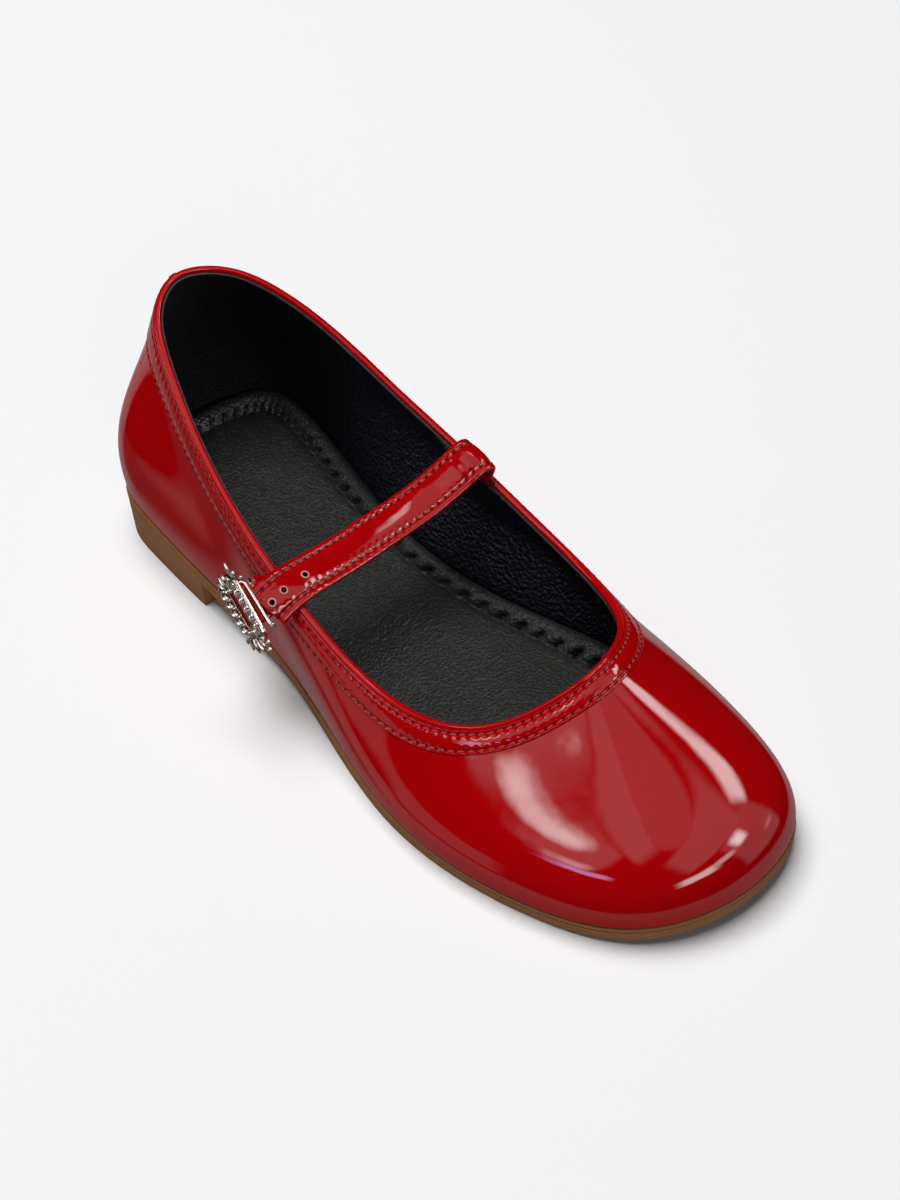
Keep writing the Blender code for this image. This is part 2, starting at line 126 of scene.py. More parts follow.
def add_node(tree, kind, links=None, **settings):
    """Adds a node. settings: its properties and inputs, i1 for input 1. links: what its inputs take."""
    node = tree.nodes.new("ShaderNode" + kind)
    for key, value in settings.items():
        if hasattr(node, key):
            setattr(node, key, value)
        else:
            node.inputs[int(key[1:]) if key[1:].isdigit() else key.replace("_", " ")].default_value = value
    for key, (source, output) in (links or {}).items():
        tree.links.new(source.outputs[output], node.inputs[key])
    return node


def add_facing(name, data, place, aim, roll=0.0):
    """Adds a camera or a lamp that faces a place."""
    facing = bpy.data.objects.new(name, data)
    bpy.context.scene.collection.objects.link(facing)
    facing.location = place
    facing.rotation_mode = "QUATERNION"
    level = (aim - Vector(place)).to_track_quat("-Z", "Y")
    facing.rotation_quaternion = level @ Quaternion((0, 0, 1), roll)
    return facing


def add_camera():
    data = bpy.data.cameras.new("camera")
    data.lens = CAMERA_LENS
    data.clip_start = 0.01
    bpy.context.scene.camera = add_facing("camera", data, CAMERA_PLACE, CAMERA_AIM, CAMERA_ROLL)


def add_floor():
    """Seamless studio paper: plain, pale and matt, so it takes only a soft shadow."""
    bpy.ops.mesh.primitive_plane_add(size=FLOOR_SIZE)
    floor = bpy.context.object
    floor.name = "floor"
    floor.data.materials.append(
        new_material("seamless_paper", "#EDEDEE", 0.9, Specular_IOR_Level=0.1)[0]
    )
    # In the gloss the sky's lower part stands for it.
    floor.visible_glossy = False


def add_backdrop():
    """Pale walls for the low views. They light nothing and no gloss sees them."""
    bpy.ops.mesh.primitive_cylinder_add(
        vertices=64, radius=BACKDROP_RADIUS, depth=BACKDROP_HEIGHT, end_fill_type="NOTHING"
    )
    walls = bpy.context.object
    walls.name = "backdrop"
    pale = bpy.data.materials.new("backdrop_paper")
    pale.use_nodes = True
    tree = pale.node_tree
    tree.nodes.clear()
    glow = add_node(tree, "Emission", Color=linear("#E4E4E6"), Strength=1.0)
    add_node(tree, "OutputMaterial", {"Surface": (glow, 0)})
    walls.data.materials.append(pale)
    walls.visible_diffuse = walls.visible_glossy = walls.visible_shadow = False


def add_sky():
    """The dim room that the gloss mirrors: paper below, dark above, and soft panels."""
    world = bpy.data.worlds.new("studio")
    world.use_nodes = True
    tree = world.node_tree
    tree.nodes.clear()
    way = add_node(tree, "TexCoord")
    height = add_node(tree, "SeparateXYZ", {"Vector": (way, "Generated")})
    share = add_node(tree, "MapRange", {"Value": (height, "Z")}, From_Min=-1.0, From_Max=1.0)
    ramp = add_node(tree, "ValToRGB", {"Fac": (share, 0)})
    levels = ramp.color_ramp.elements
    levels.remove(levels[1])
    for step, colour in PAPER_LEVELS:
        levels.new((step + 1) / 2).color = linear(colour)
    levels.remove(levels[0])

    def spread(turn, rise, wide, high, edge):
        """How much of a panel a direction meets: 1 on it, fading to 0 at its rim."""
        turn, rise = radians(turn), radians(rise)
        across = Vector((cos(turn), sin(turn), 0.0))
        facing = Vector((sin(turn) * cos(rise), -cos(turn) * cos(rise), sin(rise)))
        reach = []
        for axis, half in ((across, wide), (facing.cross(across), high)):
            sides = []
            for side in (axis, facing):
                seen = {0: (way, "Generated")}
                part = add_node(tree, "VectorMath", seen, operation="DOT_PRODUCT", i1=side)
                sides.append((part, "Value"))
            angle = add_node(tree, "Math", {0: sides[0], 1: sides[1]}, operation="ARCTAN2")
            size = add_node(tree, "Math", {0: (angle, 0)}, operation="ABSOLUTE")
            fade = add_node(tree, "MapRange", {"Value": (size, 0)}, interpolation_type="SMOOTHSTEP",
                            From_Min=radians(half), From_Max=radians(half * (1 - edge)))
            reach.append((fade, 0))
        return add_node(tree, "Math", {0: reach[0], 1: reach[1]}, operation="MULTIPLY"), 0

    left = add_node(
        tree, "MapRange", {"Value": spread(*PAPER_SHADE)}, To_Min=1.0, To_Max=SHADE_LEFT
    )
    paper = {0: (ramp, "Color"), "Scale": (left, 0)}
    light = (add_node(tree, "VectorMath", paper, operation="SCALE"), 0)
    for turn, rise, wide, high, edge, strength, *colour in PANELS:
        shine = [channel * strength for channel in linear(*colour or ["#FFFFFF"])[:3]]
        share = {"Scale": spread(turn, rise, wide, high, edge)}
        glow = add_node(tree, "VectorMath", share, operation="SCALE", i0=shine)
        light = (add_node(tree, "VectorMath", {0: light, 1: (glow, 0)}, operation="MAXIMUM"), 0)
    sky = add_node(tree, "Background", {"Color": light})
    add_node(tree, "OutputWorld", {"Surface": (sky, 0)})
    # The panels only draw highlights. The lamps light everything else.
    world.cycles_visibility.diffuse = False
    bpy.context.scene.world = world
    bpy.context.scene.view_settings.view_transform = "Standard"


def add_lamp(name, place, size, power):
    """A square soft lamp that faces the shoe."""
    data = bpy.data.lights.new(name, "AREA")
    data.size, data.energy = size, power
    return add_facing(name, data, place, Vector())


# --- Working on meshes ---


def select_only(piece):
    bpy.ops.object.select_all(action="DESELECT")
    piece.select_set(True)
    bpy.context.view_layer.objects.active = piece


def edit(piece, action="SELECT"):
    """Opens a piece for editing."""
    select_only(piece)
    bpy.ops.object.mode_set(mode="EDIT")
    bpy.ops.mesh.select_all(action=action)


def copy_solid(node, name):
    """A copy of a CAD node's solid, its triangles paired into quads."""
    piece = bpy.data.objects.new(name, frame["nodes"][node].data.copy())
    bpy.context.scene.collection.objects.link(piece)
    piece.data.materials.clear()
    select_only(piece)
    bpy.ops.mesh.customdata_custom_splitnormals_clear()
    edit(piece)
    bpy.ops.mesh.remove_doubles(threshold=0.002 * MM)
    bpy.ops.mesh.tris_convert_to_quads(
        face_threshold=pi, shape_threshold=pi, topology_influence=1.5
    )
    bpy.ops.mesh.mark_sharp(clear=True)
    bpy.ops.object.mode_set(mode="OBJECT")
    return piece


def skin_rows(node, start, sharpness, count):
    """A solid's skin as points in mm: rows from its border inwards, by columns from the heel to the lateral
    side and on round the toe. The skin runs on from the face that lies furthest the way of start, as long as
    no bend is sharper than so many degrees."""
    piece = copy_solid(node, "pattern")
    edit(piece, "DESELECT")
    bpy.ops.mesh.select_mode(type="FACE")
    bm = bmesh.from_edit_mesh(piece.data)
    max(bm.faces, key=lambda face: start(face.calc_center_median())).select_set(True)
    bm.select_flush_mode()
    bmesh.update_edit_mesh(piece.data)
    bpy.ops.mesh.faces_select_linked_flat(sharpness=radians(sharpness))
    bpy.ops.mesh.select_all(action="INVERT")
    bpy.ops.mesh.delete(type="FACE")
    bpy.ops.object.mode_set(mode="OBJECT")
    bm = bmesh.new()
    bm.from_mesh(piece.data)
    border = {v for e in bm.edges if e.is_boundary for v in e.verts}
    ring = [max(border, key=lambda v: v.co.y + v.co.z)]
    while len(ring) == 1 or ring[-1] != ring[0]:
        ways = [e.other_vert(ring[-1]) for e in ring[-1].link_edges if e.is_boundary]
        ring.append(min((v for v in ways if v not in ring[-2:]), key=lambda v: v.co.x))
    rows, seen = [ring[:-1]], set(ring)
    while len(rows) < count:
        ring = [next(e.other_vert(v) for e in v.link_edges if e.other_vert(v) not in seen) for v in rows[-1]]
        rows.append(ring)
        seen.update(ring)
    points = np.array([[tuple(v.co) for v in ring] for ring in rows]) / MM
    bm.free()
    bpy.data.objects.remove(piece)
    return points


def loft(name, rings, places=None, ends="open"):
    """A skin through closed rings of points in mm. ends: open, filled, or joined to each other. places: each
    point's UV, with one column more."""
    rings = np.asarray(rings, float)
    bpy.ops.mesh.primitive_circle_add(vertices=rings.shape[1], fill_type="NOTHING")
    piece = bpy.context.object
    piece.name = name
    bpy.ops.object.mode_set(mode="EDIT")
    bpy.ops.mesh.select_mode(type="EDGE")
    bpy.ops.mesh.select_all(action="SELECT")
    bm = bmesh.from_edit_mesh(piece.data)
    column, row = bm.verts.layers.int.new("column"), bm.verts.layers.int.new("row")
    for i, vertex in enumerate(bm.verts):
        vertex[column] = i
    for number, ring in enumerate(rings):
        if number:
            bpy.ops.mesh.extrude_edges_move()
            bm = bmesh.from_edit_mesh(piece.data)
            column, row = bm.verts.layers.int["column"], bm.verts.layers.int["row"]
        for vertex in bm.verts:
            if vertex.select:
                vertex.co = Vector(ring[vertex[column]]) * MM
                vertex[row] = number
        bmesh.update_edit_mesh(piece.data)
    bpy.ops.object.mode_set(mode="OBJECT")
    if ends != "open":
        close_ends(piece, ends)
    lay_out(piece, places)
    return piece


def close_ends(piece, ends="filled"):
    edit(piece, "DESELECT")
    bpy.ops.mesh.select_non_manifold()
    if ends == "joined":
        bpy.ops.mesh.bridge_edge_loops()
    else:
        bpy.ops.mesh.fill_holes(sides=0)
    bpy.ops.mesh.select_all(action="SELECT")
    bpy.ops.mesh.normals_make_consistent(inside=False)
    bpy.ops.object.mode_set(mode="OBJECT")


def lay_out(piece, places):
    """Writes each point's place into the UV map, closing it past the last column."""
    mesh = piece.data
    rows, columns = ([item.value for item in mesh.attributes[key].data] for key in ("row", "column"))
    if places is not None:
        laid = mesh.uv_layers.new(name="laid_out")
        last = max(columns)
        for face in mesh.polygons:
            seam = {0, last} <= {columns[vertex] for vertex in face.vertices}
            for loop, vertex in zip(face.loop_indices, face.vertices):
                column = last + 1 if seam and columns[vertex] == 0 else columns[vertex]
                laid.data[loop].uv = places[rows[vertex]][column]
    for key in ("row", "column"):
        mesh.attributes.remove(mesh.attributes[key])


def apply_modifier(piece, kind, **settings):
    modifier = piece.modifiers.new(kind, kind)
    for key, value in settings.items():
        setattr(modifier, key, value)
    select_only(piece)
    bpy.ops.object.modifier_apply(modifier=modifier.name)


def subdivide(piece):
    apply_modifier(piece, "SUBSURF", levels=2)


def bevel_edges(piece, width, segments, least):
    """Rounds the edges that bend more than an angle in degrees."""
    limit = {"limit_method": "ANGLE", "angle_limit": radians(least)}
    apply_modifier(piece, "BEVEL", width=width * MM, segments=segments, **limit)


def cut_away(piece, cutter):
    apply_modifier(piece, "BOOLEAN", operation="DIFFERENCE", object=cutter, solver="EXACT")
    bpy.data.objects.remove(cutter)


def copy_out(unit, name, places):
    """Copies a modelled unit to each place, as one piece."""
    together = bmesh.new()
    for place in places:
        copy = unit.data.copy()
        copy.transform(place)
        together.from_mesh(copy)
        bpy.data.meshes.remove(copy)
    together.to_mesh(unit.data)
    together.free()
    unit.name = name
    return unit


def dress(piece, slot, *materials, sharp=60):
    """Gives a finished piece its materials, smooth shading and its body. Its slot is not used."""
    piece.data.materials.clear()
    for material in materials:
        piece.data.materials.append(material)
    select_only(piece)
    bpy.ops.object.shade_smooth_by_angle(angle=radians(sharp))
    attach(piece, "root")
    return piece


def unit(ways):
    return ways / np.linalg.norm(ways, axis=-1, keepdims=True)


def around(ring, at):
    """Points of a closed ring at fractional columns, on a smooth curve."""
    ring, at = np.asarray(ring, float), np.asarray(at, float)
    i, t = np.floor(at).astype(int), (at - np.floor(at))[:, None]
    a, b, c, d = (ring[(i + step) % len(ring)] for step in (-1, 0, 1, 2))
    return b + t * (c - a + t * (2 * a - 5 * b + 4 * c - d + t * (3 * (b - c) + d - a))) / 2


def between(start, end, start_slope, end_slope, t):
    """The place at a share t of a smooth curve with a slope at each end."""
    return (
        (2 * t**3 - 3 * t**2 + 1) * start + (t**3 - 2 * t**2 + t) * start_slope
        + (3 * t**2 - 2 * t**3) * end + (t**3 - t**2) * end_slope
    )


STITCH_FLAT = 0.8  # the thread is pulled flat to this share of its width


def sew(name, slot, material, places, ways, on, length=1.9, thick=0.55, slant=0.0):
    """One stitch, copied along a seam, laid on a piece's surface and slanted by degrees."""
    bpy.ops.mesh.primitive_uv_sphere_add(segments=6, ring_count=6, radius=0.5, calc_uvs=False)
    stitch = bpy.context.object
    for vertex in stitch.data.vertices:
        y, z, x = vertex.co
        # Its ends dip into the needle holes.
        vertex.co = Vector((x * length, y * thick, (z * STITCH_FLAT - 0.5 * (2 * x) ** 4) * thick)) * MM
    faces = [face.vertices for face in on.data.polygons]
    surface = BVHTree.FromPolygons([vertex.co for vertex in on.data.vertices], faces)
    laid = []
    for place, way in zip(places, ways):
        near, facing = surface.find_nearest(Vector(place) * MM)[:2]
        side = facing.cross(Vector(way)).normalized()
        lying = Matrix((side.cross(facing), side, facing)).transposed().to_4x4()
        laid.append(Matrix.Translation(near) @ lying @ Matrix.Rotation(radians(slant), 4, "Z"))
    return dress(copy_out(stitch, name, laid), slot, material)


# --- The wall of the upper ---

WALL_ROWS = 13
COLLAR_ROWS, COLLAR_RAISE = 3, 0.4
FIRST_ROW = 2.4  # how far under the topline the solid wall starts
FOOT_SWELL = 1.1  # how far the leather swells over the sole's edge in the forepart
SWELL_FULL_AT = -40.0


def read_wall():
    """The wall's outer face: its rows, how far each lies under the topline, and the way it faces."""
    rows = skin_rows("upper", lambda centre: centre.y, 50, WALL_ROWS)

    def facing(rows):
        normal = np.cross(np.gradient(rows, axis=0), np.roll(rows, -1, 1) - np.roll(rows, 1, 1))
        normal = unit(normal)
        outward = (normal[-1, :, :2] * (rows[-1, :, :2] - rows[-1, :, :2].mean(0))).sum()
        return normal if outward > 0 else -normal

    rows[:COLLAR_ROWS] -= facing(rows)[:COLLAR_ROWS] * COLLAR_RAISE
    fore = np.clip(rows[..., 1] / SWELL_FULL_AT, 0, 1)[..., None]
    rows += facing(rows) * FOOT_SWELL * fore * np.linspace(0, 1, len(rows))[:, None, None] ** 3
    # One row more runs on up to the topline.
    first, second = unit(np.diff(rows[:3], axis=0))
    rows = np.concatenate([[rows[0] - FIRST_ROW * (1.7 * first - 0.7 * second)], rows])
    steps = np.linalg.norm(np.diff(rows, axis=0), axis=2)
    down = np.concatenate([np.zeros((1, rows.shape[1])), steps.cumsum(0)])
    tangent = np.gradient(rows, axis=0) / np.gradient(down, axis=0)[..., None]
    return {"rows": rows, "down": down, "tangent": tangent, "facing": facing(rows)}


def on_wall(distance, lift=0.0):
    """A ring of points at a distance under the topline, lifted off the wall's outer face."""
    down, count = WALL["down"], WALL["down"].shape[1]
    distance, lift = np.broadcast_to(distance, count), np.broadcast_to(lift, count)
    upper = np.clip((down <= distance).sum(0) - 1, 0, len(down) - 2)
    every = np.arange(count)
    step = (down[upper + 1, every] - down[upper, every])[:, None]
    t = (distance - down[upper, every])[:, None] / step
    start, end, start_slope, end_slope = (
        WALL[key][row, every] for key in ("rows", "tangent") for row in (upper, upper + 1)
    )
    place = between(start, end, start_slope * step, end_slope * step, t)
    facing = WALL["facing"][upper, every] * (1 - t) + WALL["facing"][upper + 1, every] * t
    return place + unit(facing) * lift[:, None]


def wall_piece(name, profile, places=None):
    """A closed strip round the shoe from a profile of (distance under the topline, lift) rows."""
    piece = loft(name, [on_wall(distance, lift) for distance, lift in profile], places, ends="joined")
    subdivide(piece)
    return piece


WALL = read_wall()
FOOT = WALL["down"][-1]
MIDDLE_LINE = on_wall(4.0)
ALONG = np.concatenate([[0], np.linalg.norm(np.roll(MIDDLE_LINE, -1, 0) - MIDDLE_LINE, axis=1).cumsum()])
STITCH_PITCH = 2.4
STITCH_COUNT = round(ALONG[-1] / STITCH_PITCH)
STITCH_SLANT = 10.0

# The collar band's two seams, closer together over the vamp than round the heel
LOWER_SEAM = np.interp(MIDDLE_LINE[:, 1], (-52.0, 98.0), (4.6, 8.2))
UPPER_SEAM = 0.9 + 0.19 * (LOWER_SEAM - 4.6)
SEAM_SPACING = 5.2


# --- Materials ---


def new_material(name, colour, roughness, **values):
    """A material with its shader's own sockets set."""
    material = bpy.data.materials.new(name)
    material.use_nodes = True
    shader = material.node_tree.nodes["Principled BSDF"]
    shader.inputs["Base Color"].default_value = linear(colour)
    shader.inputs["Roughness"].default_value = roughness
    for key, value in values.items():
        shader.inputs[key.replace("_", " ")].default_value = value
    return material, material.node_tree, shader


def emboss(tree, shader, height, depth):
    """Raises the surface and the film over it by a height times a depth in mm, over what is there."""
    links = {"Height": height}
    if shader.inputs["Normal"].is_linked:
        links["Normal"] = (shader.inputs["Normal"].links[0].from_node, "Normal")
    bump = add_node(tree, "Bump", links, Distance=depth * MM)
    for socket in ("Normal", "Coat Normal"):
        tree.links.new(bump.outputs["Normal"], shader.inputs[socket])


def pattern(tree, shader, size, depth, kind="TexNoise", output=0, **settings):
    """Raises a texture of a size across and a depth, both in mm, and returns it."""
    place = add_node(tree, "TexCoord")
    texture = add_node(tree, kind, {"Vector": (place, "Object")}, Scale=1 / (size * MM), **settings)
    emboss(tree, shader, (texture, output), depth)
    return texture


PATENT_RED, HOLE_SHADE_RED = "#A00306", "#4A0003"
FILM_SWELL, FILM_SWELL_SIZE = 0.07, 14.0
FILM_RIPPLE, FILM_RIPPLE_SIZE = 0.009, 3.6
# A seam's marks in patent leather, in mm: full so near and gone so far off
GROOVE_REACH, PUCKER_REACH, HOLE_REACH = (0.1, 0.8), (0.3, 2.4), (0.24, 0.46)
GROOVE_DEPTH, PUCKER_DEPTH, HOLE_DEPTH = -0.10, -0.08, -0.25


def patent(name, colour=PATENT_RED, swell=FILM_SWELL, seams=None):
    """Patent leather: smooth hide under a clear, thick polyurethane film. The film mirrors the room sharply
    over a deep, even red, and swells a little over the hide. seams gives the stitch pitch and spacing of two
    seams, which pull the film down to a row of needle holes with a pucker at each, and tint each hole
    darker with painted shade."""
    material, tree, shader = new_material(
        name, colour, 0.45, Coat_Weight=1.0, Coat_Roughness=0.025, Coat_IOR=1.5, Specular_IOR_Level=0.0
    )
    pattern(tree, shader, FILM_SWELL_SIZE, swell)
    pattern(tree, shader, FILM_RIPPLE_SIZE, FILM_RIPPLE, Detail=1.0)
    if not seams:
        return material
    laid = add_node(tree, "UVMap", uv_map="laid_out")
    parts = add_node(tree, "SeparateXYZ", {0: (laid, 0)})
    # How far in mm a point lies from the nearest needle hole, along the seam and across it
    along, across = [], []
    for off, axis, size in ((along, "X", seams[0]), (across, "Y", seams[1])):
        share = add_node(tree, "Math", {0: (parts, axis)}, operation="PINGPONG", i1=0.5)
        off += [add_node(tree, "Math", {0: (share, 0)}, operation="MULTIPLY", i1=size), 0]
    both = add_node(tree, "CombineXYZ", {"X": along, "Y": across})
    hole_off = (add_node(tree, "VectorMath", {0: (both, 0)}, operation="LENGTH"), "Value")
    groove, near, wave, hole = (
        add_node(tree, "MapRange", {"Value": off}, interpolation_type="SMOOTHSTEP",
                 From_Min=gone, From_Max=full)
        for off, (full, gone) in (
            (across, GROOVE_REACH), (across, PUCKER_REACH), (along, (0, seams[0] / 2)),
            (hole_off, HOLE_REACH),
        )
    )
    pucker = add_node(tree, "Math", {0: (near, 0), 1: (wave, 0)}, operation="MULTIPLY")
    emboss(tree, shader, (groove, 0), GROOVE_DEPTH)
    emboss(tree, shader, (pucker, 0), PUCKER_DEPTH)
    emboss(tree, shader, (hole, 0), HOLE_DEPTH)
    # Each needle hole is tinted a darker red: painted shade in the hole.
    colours = {"i6": linear(colour), "i7": linear(HOLE_SHADE_RED)}
    tint = add_node(tree, "Mix", {0: (hole, 0)}, data_type="RGBA", **colours)
    tree.links.new(tint.outputs[2], shader.inputs["Base Color"])
    return material


UNEVENNESS, UNEVENNESS_SIZE = 0.12, 6.0
FINE_SHARE = 0.35  # the finer grain, against the cells


def grained(name, colour, other, roughness, grain, depth, kind="TexVoronoi", ribs=None, **values):
    """A surface of small cells of a size and depth in mm, which turn from one colour to another across
    themselves, with a finer grain on them and a slight unevenness. ribs adds a pitch and a depth."""
    material, tree, shader = new_material(name, colour, roughness, **values)
    cells = pattern(tree, shader, grain, depth, kind)
    pattern(tree, shader, grain * FINE_SHARE, depth * FINE_SHARE, Detail=3.0)
    pattern(tree, shader, UNEVENNESS_SIZE, UNEVENNESS)
    colours = {"i6": linear(colour), "i7": linear(other)}
    tint = add_node(tree, "Mix", {0: (cells, 0)}, data_type="RGBA", **colours)
    tree.links.new(tint.outputs[2], shader.inputs["Base Color"])
    if ribs:
        pattern(tree, shader, *ribs, kind="TexWave", output=1)
    return material


STRAP_PITCH, STRAP_SEAMS = 2.3, 7.5
PATENT = patent("patent_leather")
COLLAR_PATENT = patent("patent_leather_collar", swell=0.08, seams=(STITCH_PITCH, SEAM_SPACING))
STRAP_PATENT = patent("patent_leather_strap", swell=0.13, seams=(STRAP_PITCH, STRAP_SEAMS))
# The same hide, pared thin and turned over a cord, and painted a little lighter red: painted light on the
# bead
BINDING = patent("patent_leather_binding", "#A80408")

# Bonded nylon sewing thread, twisted and waxed. Each bead of the twist is painted lighter in its middle and
# darker at its rim: a painted shine, for the light that each turn of the twist catches. The real twist is
# 0.3 mm, drawn at 0.5 mm so that it shows.
THREAD = grained("bonded_nylon_thread", "#B43030", "#8E1A1C", 0.4, 0.5, 0.06)
DARK_THREAD = grained("black_nylon_thread", "#1C1C20", "#101012", 0.3, 0.5, 0.06)

# Goat leather, drum dyed and plated: pebbles about 1 mm across, their rims painted a cool grey: painted
# highlights
LINING = grained("goat_lining_leather", "#08090D", "#20242F", 0.3, 1.1, 0.55)
# Brushed polyester textile, a napped knit: almost no shine, and a short uneven pile
TEXTILE = grained("brushed_lining_textile", "#040404", "#141414", 0.7, 0.8, 0.4, Specular_IOR_Level=0.3)
# The linings' cut edge, sealed with acrylic edge paint: a thin grey line with a dull shine
LINING_EDGE = grained("painted_cut_edge", "#34383A", "#24282A", 0.45, 0.7, 0.06)
# Pigskin with an aniline finish, glued over foam: charcoal, fine grained, with a low sheen on its rolls
INSOLE = grained("pigskin_insole_leather", "#141413", "#2E2E2C", 0.34, 0.8, 0.24)

# Thermoplastic rubber from a spark-eroded mould: an even toffee brown, and a fine matt skin without shine
RUBBER = grained("moulded_thermoplastic_rubber", "#875A36", "#916440", 0.6, 0.4, 0.02, Specular_IOR_Level=0.1)
# The same rubber where it is moulded with shallow ribs to grip, painted darker: painted shade on the
# underside
TREAD = grained("moulded_rubber_tread", "#74482A", "#7E5236", 0.6, 0.4, 0.02, ribs=(3.0, 0.5))
# Cellulose board under the insole, pressed from fibre: black, rough and quite matt. The black is also painted
# shade for the narrow gap round the insole, where the seat shows through
BOARD = grained("insole_fibre_board", "#0A0A0A", "#161412", 0.9, 0.5, 0.1)

# Cut glass with a silver foil behind it: bright facets that flash, some cooler than others
CRYSTAL = grained(
    "foiled_glass_crystal", "#EEECEA", "#C9CCD2", 0.1, 1.3, 0.0, Metallic=0.8, Coat_Weight=1.0
)
# Zinc alloy, die cast and silver plated: warm white metal, with the slight ripple that casting leaves
SILVER = grained(
    "silver_plate", "#E6DCD2", "#C8BEB6", 0.2, 1.2, 0.02, kind="TexNoise", Metallic=1.0
)
# The strap's raw edge where a hole was punched, left bare: pale pink fibre with no film on it. The pale rings
# round the holes are also a painted highlight on that edge
EDGE = grained("cut_edge_and_glint", "#D89A90", "#C07068", 0.5, 0.5, 0.05)


# --- Upper ---


def make_upper():
    """The upper's leather: one lasted skin, tucked in under the insole at its foot."""
    shares = np.linspace(0, 1, 12)[1:-1]
    outer = [(0.7, 0.0), (2.5, 0.0)] + [(2.5 + (FOOT - 2.5) * share, 0.0) for share in shares]
    foot = [(FOOT - 0.5, 0.0), (FOOT, -0.3), (FOOT, -1.0)]
    inner = [(distance, -1.1) for distance, _ in reversed(outer)]
    shell = wall_piece("upper_shell", outer + foot + inner)
    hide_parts("upper")
    return dress(shell, "upper", PATENT)


def make_collar_band():
    """The band round the collar, its lower edge turned, held by two seams that sink into it."""
    a, b = UPPER_SEAM, LOWER_SEAM
    outer = [
        # distance under the topline, lift
        (0.15, -0.6), (-0.1, 0.05), (0.4 * a, 0.40), (a - 0.4, 0.42),
        (a, 0.18), (a + 0.4, 0.44), (0.7 * a + 0.3 * b, 0.55), (0.3 * a + 0.7 * b, 0.55), (b - 0.4, 0.46),
        (b, 0.2), (b + 0.4, 0.44), (b + 0.85, 0.40), (b + 1.0, 0.12),
    ]
    under = [(b + 0.9, 0.02), ((a + b) / 2, 0.02), (0.6, -0.05)]
    stitches = ALONG / ALONG[-1] * STITCH_COUNT
    across = [(distance - a) / (b - a) for distance, _ in outer + under]
    places = [list(zip(stitches, np.append(share, share[0]))) for share in across]
    band = wall_piece("collar_band", outer + under, places)
    at = np.interp(np.arange(STITCH_COUNT) + 0.5, stitches, np.arange(len(ALONG)))
    for name, seam in (("collar_stitches_upper", a), ("collar_stitches_lower", b)):
        ring = on_wall(seam, 0.35)
        places = around(ring, at)
        ways = around(ring, at + 0.05) - places
        sew(name, "upper", THREAD, places, ways, band, slant=STITCH_SLANT)
    return dress(band, "upper", COLLAR_PATENT)


# The bead's section: a rounded square, tilted so that its flat lies on top
BEAD_WIDE, BEAD_HIGH, BEAD_ROUNDING = 0.9, 0.8, 3.5
BEAD_TILT = radians(62)
BEAD_SINK, BEAD_RAISE = -0.85, 0.45
SLEEVE_HALF, SLEEVE_SWELL = 0.45, 1.14  # half the sleeve's length in columns, and its size over the bead's


def make_binding():
    """The bead rolled over the collar's raw edge, its ends joined at the heel under a short sleeve."""
    facing, up = WALL["facing"][0], -WALL["tangent"][0]
    centre = on_wall(0.0, BEAD_SINK) + up * BEAD_RAISE
    rings = []
    for turn in np.linspace(0, 2 * pi, 16, endpoint=False):
        squared = sum(abs(wave(turn - BEAD_TILT)) ** BEAD_ROUNDING for wave in (cos, sin))
        way = facing * BEAD_WIDE * cos(turn) + up * BEAD_HIGH * sin(turn)
        rings.append(centre + way * squared ** (-1 / BEAD_ROUNDING))

    sections = []
    for at in np.linspace(-SLEEVE_HALF, SLEEVE_HALF, 7):
        section = np.array([around(ring, [at])[0] for ring in rings])
        swell = 1.0 if abs(at) > 0.9 * SLEEVE_HALF else SLEEVE_SWELL
        sections.append(section.mean(0) + (section - section.mean(0)) * swell)
    sleeve = loft("binding_sleeve", sections, ends="filled")
    subdivide(sleeve)
    dress(sleeve, "binding", BINDING)

    bead = loft("binding_bead", rings, ends="joined")
    subdivide(bead)
    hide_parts("topline_binding")
    return dress(bead, "binding", BINDING)


LINING_JOINT = Vector((0.0, 63.5, 45.0)) * MM
LINING_LEAN = (0, 1, 0.12)
LINING_GAP = 0.02  # half the joint's width
ROOT_AT, ROOT_HALF = 15.0, 9.5  # where the strap is sewn in behind the lining


def make_lining():
    """Textile round the heel and leather in the forepart, joined by a seam down each side."""
    shares = np.linspace(0, 1, 10)[1:-1]
    inside = [(-0.25, -1.75), (-0.3, -2.05), (-0.1, -2.3), (0.8, -2.3), (3.0, -2.2)]
    inside += [(3.0 + (FOOT - 3.0) * share, -2.15) for share in shares]
    inside += [(FOOT, -2.1)]
    outside = [(FOOT, -1.3), (FOOT * 0.6, -1.3), (FOOT * 0.3, -1.3), (0.8, -1.3)]
    near_root = np.exp(-(((MIDDLE_LINE[:, 1] - ROOT_AT) / ROOT_HALF) ** 4)) * (MIDDLE_LINE[:, 0] > 0)
    rings = []
    for distance, lift in inside:
        swell = np.interp(np.mean(distance), (-0.3, 0.8, 3.0, 12.0, 18.0), (0.6, 2.0, 2.4, 2.0, 0.0))
        rings.append(on_wall(distance, lift - near_root * swell))
    rings += [on_wall(distance, lift) for distance, lift in outside]
    for name, material, cleared, side in (
        ("lining_heel", TEXTILE, "clear_inner", LINING_GAP),
        ("lining_forepart", LINING, "clear_outer", -LINING_GAP),
    ):
        part = loft(name, rings, ends="joined")
        subdivide(part)
        edit(part)
        cut = LINING_JOINT + Vector((0, side, 0)) * MM
        bpy.ops.mesh.bisect(plane_co=cut, plane_no=LINING_LEAN, use_fill=True, **{cleared: True})
        bpy.ops.object.mode_set(mode="OBJECT")
        dress(part, "upper", material)
    profile = [(0.0, -1.7), (-0.42, -1.75), (-0.42, -2.25), (0.2, -2.42), (0.2, -2.1)]
    dress(wall_piece("lining_cut_edge", profile), "upper", LINING_EDGE)


# --- Insole ---

INSOLE_ROWS = 7
INSOLE_COLUMNS = 200
